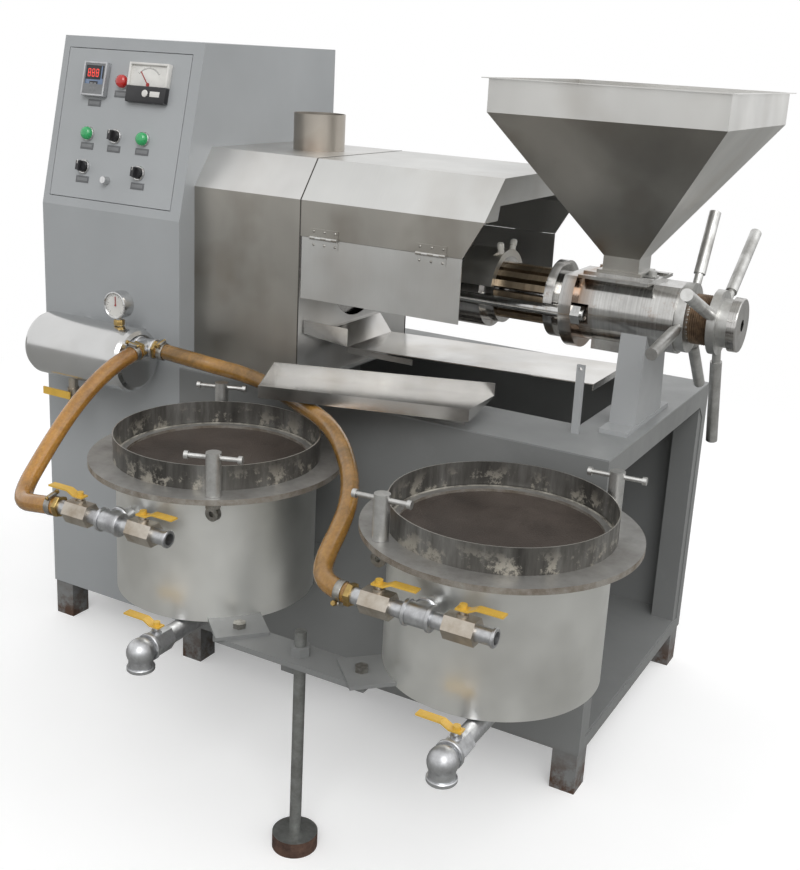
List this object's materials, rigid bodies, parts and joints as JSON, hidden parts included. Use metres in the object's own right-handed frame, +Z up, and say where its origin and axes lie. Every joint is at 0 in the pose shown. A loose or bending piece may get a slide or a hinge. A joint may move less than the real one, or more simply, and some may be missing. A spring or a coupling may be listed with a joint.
{
  "type": "screw oil press",
  "caption": "Screw press on a steel frame with control cabinet, geared worm, slotted cage, seed hopper, adjusting screw and hung vacuum filter tanks.",
  "frame": {"origin": "middle of the sole of the front left foot", "axes": "+X along the press towards its adjusting screw, +Y from front to back, +Z up"},
  "size_m": [1.46, 1.174, 1.32],
  "materials": {
    "frame_paint": "satin grey paint",
    "cabinet_paint": "satin light grey paint",
    "stainless": "brushed stainless sheet",
    "machined": "turned and polished steel",
    "casting": "painted casting",
    "galvanised": "galvanised fittings",
    "brass": "plain brass",
    "lever_paint": "yellow dipped levers",
    "hose": "amber reinforced hose",
    "belt": "black belt",
    "black_plastic": "matt black",
    "meter_plastic": "pale plastic",
    "lens": "lens",
    "filter_cloth": "oil-soaked filter bed",
    "rust": "rusty foot",
    "needle": "red needle"
  },
  "bodies": {
    "root": {"frame_tubes": "frame_paint", "frame_panels": "frame_paint", "table_top": "frame_paint", "control_cabinet": "cabinet_paint", "gearbox_housing": "stainless", "cage_hood": "stainless", "gearbox_case": "casting", "shaft_bearings": "machined", "drive_belts": "belt", "motor": "casting", "vacuum_pump": "casting", "press_cage": "machined", "cage_bars": "machined", "tie_rods": "machined", "feed_block": "machined", "pedestal": "frame_paint", "hopper": "stainless", "oil_pan": "stainless", "oil_gutter": "stainless", "vacuum_tank": "stainless", "pipe_fittings": "galvanised", "filter_tank_left": "stainless", "filter_tank_right": "stainless", "filter_rings": "stainless", "filter_beds": "filter_cloth", "tank_fasteners": "galvanised", "carrier_bar": "frame_paint", "hose_left": "hose", "hose_right": "hose"},
    "door": {"cabinet_door": "cabinet_paint", "panel_meters": "meter_plastic", "panel_switches": "lens"},
    "ammeter_needle": {"ammeter_pointer": "needle"},
    "door_knob": {"door_knob": "machined"},
    "selector_left": {"selector_left": "black_plastic"},
    "selector_middle": {"selector_middle": "black_plastic"},
    "selector_right": {"selector_right": "black_plastic"},
    "front_flap": {"hood_front_door": "stainless"},
    "back_flap": {"hood_back_door": "stainless"},
    "worm": {"worm_shaft": "machined"},
    "pinion": {"pinion_shaft": "machined"},
    "motor_pulley": {"motor_pulley": "casting"},
    "lock_ring": {"lock_ring": "machined"},
    "screw_slider": {"end_cap": "machined"},
    "adjusting_screw": {"adjusting_screw": "machined"},
    "gate": {"hopper_gate": "stainless"},
    "jack": {"jack_leg": "rust"},
    "gauge_needle": {"gauge_pointer": "needle"},
    "lever_left_hose": {"lever_left_hose": "lever_paint"},
    "lever_left_air": {"lever_left_air": "lever_paint"},
    "lever_right_hose": {"lever_right_hose": "lever_paint"},
    "lever_right_air": {"lever_right_air": "lever_paint"},
    "lever_left_drain": {"lever_left_drain": "lever_paint"},
    "lever_right_drain": {"lever_right_drain": "lever_paint"},
    "lever_vacuum_drain": {"lever_vacuum_drain": "lever_paint"},
    "clamp_left_front": {"clamp_left_front": "galvanised"},
    "clamp_left_back": {"clamp_left_back": "galvanised"},
    "clamp_right_front": {"clamp_right_front": "galvanised"},
    "clamp_right_back": {"clamp_right_back": "galvanised"}
  },
  "joints": [
    {"name": "door_hinge", "type": "hinge", "parent": "root", "child": "door", "pos_m": [0.1435, 0.04867, 1.29517], "axis": [-1, 0, 0], "range_deg": [0, 95]},
    {"name": "ammeter_needle_turn", "type": "hinge", "parent": "door", "child": "ammeter_needle", "pos_m": [0.2225, 0.03323, 1.22946], "axis": [0, -0.9735, 0.2287], "range_deg": [-80, 0]},
    {"name": "door_knob_turn", "type": "hinge", "parent": "door", "child": "door_knob", "pos_m": [0.1435, -0.01309, 1.03233], "axis": [0, -0.9735, 0.2287], "range_deg": [0, 90]},
    {"name": "selector_left_turn", "type": "hinge", "parent": "door", "child": "selector_left", "pos_m": [0.076, -0.00771, 1.05521], "axis": [0, -0.9735, 0.2287], "range_deg": [-45, 45]},
    {"name": "selector_middle_turn", "type": "hinge", "parent": "door", "child": "selector_middle", "pos_m": [0.1505, 0.00818, 1.12286], "axis": [0, -0.9735, 0.2287], "range_deg": [-45, 45]},
    {"name": "selector_right_turn", "type": "hinge", "parent": "door", "child": "selector_right", "pos_m": [0.226, -0.00771, 1.05521], "axis": [0, -0.9735, 0.2287], "range_deg": [-45, 45]},
    {"name": "front_flap_hinge", "type": "hinge", "parent": "root", "child": "front_flap", "pos_m": [0.8, 0.017, 0.97], "axis": [-1, 0, 0], "range_deg": [0, 100]},
    {"name": "back_flap_hinge", "type": "hinge", "parent": "root", "child": "back_flap", "pos_m": [0.8, 0.468, 0.97], "axis": [1, 0, 0], "range_deg": [0, 100]},
    {"name": "worm_spin", "type": "hinge", "parent": "root", "child": "worm", "pos_m": [0.5, 0.2425, 0.881], "axis": [1, 0, 0], "continuous": true},
    {"name": "pinion_spin", "type": "hinge", "parent": "root", "child": "pinion", "pos_m": [0.5, 0.36978, 0.75372], "axis": [1, 0, 0], "continuous": true},
    {"name": "motor_spin", "type": "hinge", "parent": "root", "child": "motor_pulley", "pos_m": [0.3, 0.2425, 0.226], "axis": [1, 0, 0], "continuous": true},
    {"name": "lock_ring_turn", "type": "hinge", "parent": "root", "child": "lock_ring", "pos_m": [1.3268, 0.2425, 0.881], "axis": [1, 0, 0], "range_deg": [-60, 0]},
    {"name": "screw_travel", "type": "slide", "parent": "root", "child": "screw_slider", "axis": [1, 0, 0], "range_m": [-0.0021, 0.0041]},
    {"name": "screw_turn", "type": "hinge", "parent": "screw_slider", "child": "adjusting_screw", "pos_m": [1.3833, 0.2425, 0.881], "axis": [1, 0, 0], "range_deg": [-180, 360]},
    {"name": "gate_slide", "type": "slide", "parent": "root", "child": "gate", "axis": [1, 0, 0], "range_m": [0, 0.07]},
    {"name": "jack_slide", "type": "slide", "parent": "root", "child": "jack", "axis": [0, 0, 1], "range_m": [0, 0.06]},
    {"name": "gauge_needle_turn", "type": "hinge", "parent": "root", "child": "gauge_needle", "pos_m": [0.2545, -0.1165, 0.8], "axis": [0, 1, 0], "range_deg": [-135, 135]},
    {"name": "valve_left_hose", "type": "hinge", "parent": "root", "child": "lever_left_hose", "pos_m": [0.5155, -0.4895, 0.565], "axis": [0, 0, 1], "range_deg": [0, 90]},
    {"name": "valve_left_air", "type": "hinge", "parent": "root", "child": "lever_left_air", "pos_m": [0.6555, -0.4895, 0.565], "axis": [0, 0, 1], "range_deg": [-90, 0]},
    {"name": "valve_right_hose", "type": "hinge", "parent": "root", "child": "lever_right_hose", "pos_m": [1.1095, -0.4895, 0.565], "axis": [0, 0, 1], "range_deg": [-90, 0]},
    {"name": "valve_right_air", "type": "hinge", "parent": "root", "child": "lever_right_air", "pos_m": [1.2495, -0.4895, 0.565], "axis": [0, 0, 1], "range_deg": [-90, 0]},
    {"name": "valve_left_drain", "type": "hinge", "parent": "root", "child": "lever_left_drain", "pos_m": [0.6895, -0.4975, 0.375], "axis": [0, 0, 1], "range_deg": [0, 90]},
    {"name": "valve_right_drain", "type": "hinge", "parent": "root", "child": "lever_right_drain", "pos_m": [1.2565, -0.4975, 0.375], "axis": [0, 0, 1], "range_deg": [0, 90]},
    {"name": "valve_vacuum_drain", "type": "hinge", "parent": "root", "child": "lever_vacuum_drain", "pos_m": [0.1235, -0.124, 0.588], "axis": [0, -1, 0], "range_deg": [0, 90]},
    {"name": "clamp_left_front_turn", "type": "hinge", "parent": "root", "child": "clamp_left_front", "pos_m": [0.75917, -0.43697, 0.65], "axis": [0, 0, 1], "continuous": true},
    {"name": "clamp_left_back_turn", "type": "hinge", "parent": "root", "child": "clamp_left_back", "pos_m": [0.51583, -0.10203, 0.65], "axis": [0, 0, 1], "continuous": true},
    {"name": "clamp_right_front_turn", "type": "hinge", "parent": "root", "child": "clamp_right_front", "pos_m": [1.07423, -0.43037, 0.65], "axis": [0, 0, 1], "continuous": true},
    {"name": "clamp_right_back_turn", "type": "hinge", "parent": "root", "child": "clamp_right_back", "pos_m": [1.33477, -0.10863, 0.65], "axis": [0, 0, 1], "continuous": true}
  ],
  "couplings": [
    {"joint": "pinion_spin", "follows": "worm_spin", "ratio": -3},
    {"joint": "motor_spin", "follows": "worm_spin", "ratio": -7.3333},
    {"joint": "screw_travel", "follows": "screw_turn", "m_per_rad": 0.00063662}
  ]
}
